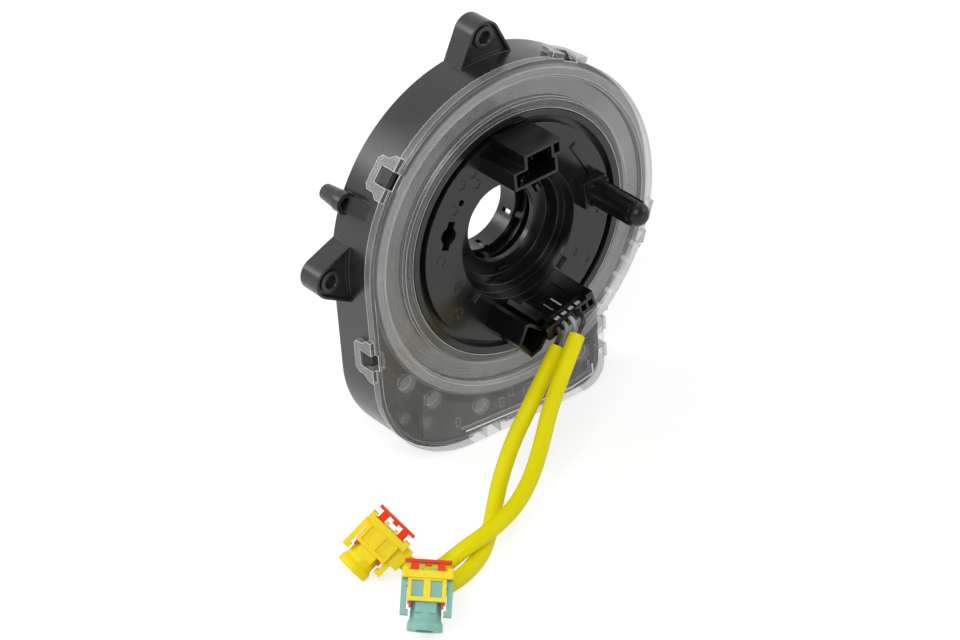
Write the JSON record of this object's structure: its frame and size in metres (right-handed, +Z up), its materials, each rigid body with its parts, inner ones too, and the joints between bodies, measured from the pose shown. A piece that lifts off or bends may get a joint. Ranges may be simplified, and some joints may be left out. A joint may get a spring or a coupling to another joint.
{
  "type": "steering clock spring",
  "caption": "Rotary coupler for a steering column: a rotor with connectors, a drive peg and two plugged leads turns in a housing under a clear cover.",
  "frame": {"origin": "on the steering axis, in the plane of the housing's back face", "axes": "+X right and +Z up seen from the front, -Y along the steering axis out of the front"},
  "size_m": [0.152, 0.1023, 0.133],
  "materials": {
    "housing_grey": "satin moulded plastic",
    "rotor_grey": "satin moulded plastic",
    "black_plastic": "satin moulded plastic",
    "cover_clear": "clear plastic",
    "sheet_milky": "milky film",
    "cable_film": "film over flat copper",
    "tin": "tinned contact",
    "wire_brown": "wire sheath",
    "wire_grey": "wire sheath",
    "wire_white": "wire sheath",
    "wire_black": "wire sheath",
    "sleeve_yellow": "soft sleeve",
    "plug_teal": "moulded plastic",
    "plug_yellow": "moulded plastic",
    "lock_red": "moulded plastic"
  },
  "bodies": {
    "stator": {"rear_housing": "housing_grey", "front_cover": "cover_clear", "slip_sheet": "sheet_milky", "flat_cable": "cable_film", "cable_end_outer": "black_plastic", "terminal_carrier": "housing_grey", "stator_connector": "black_plastic", "stator_pins": "tin"},
    "rotor": {"rotor_plate": "rotor_grey", "rear_sleeve": "black_plastic", "cable_end_inner": "black_plastic", "drive_peg": "black_plastic", "switch_connector": "black_plastic", "switch_pins": "tin", "horn_socket": "black_plastic", "horn_pins": "tin", "lead_socket": "black_plastic", "lead_connector": "black_plastic", "lead_contacts": "tin", "wire_brown": "wire_brown", "wire_grey": "wire_grey", "wire_white": "wire_white", "wire_black": "wire_black", "lead_sleeve_teal": "sleeve_yellow", "lead_sleeve_yellow": "sleeve_yellow", "teal_plug_body": "plug_teal", "teal_plug_frame": "plug_yellow", "teal_plug_contacts": "tin", "yellow_plug_body": "plug_yellow", "yellow_plug_frame": "plug_yellow", "yellow_plug_contacts": "tin"},
    "teal_lock": {"teal_plug_lock": "lock_red"},
    "yellow_lock": {"yellow_plug_lock": "lock_red"}
  },
  "joints": [
    {"name": "rotor_turn", "type": "hinge", "parent": "stator", "child": "rotor", "pos_m": [0, 0, 0], "axis": [0, 1, 0], "range_deg": [-900, 900]},
    {"name": "teal_lock_slide", "type": "slide", "parent": "rotor", "child": "teal_lock", "axis": [-0.4938, -0.4728, -0.7298], "range_m": [0, 0.0014]},
    {"name": "yellow_lock_slide", "type": "slide", "parent": "rotor", "child": "yellow_lock", "axis": [-0.8006, 0.1519, -0.5797], "range_m": [0, 0.0014]}
  ]
}
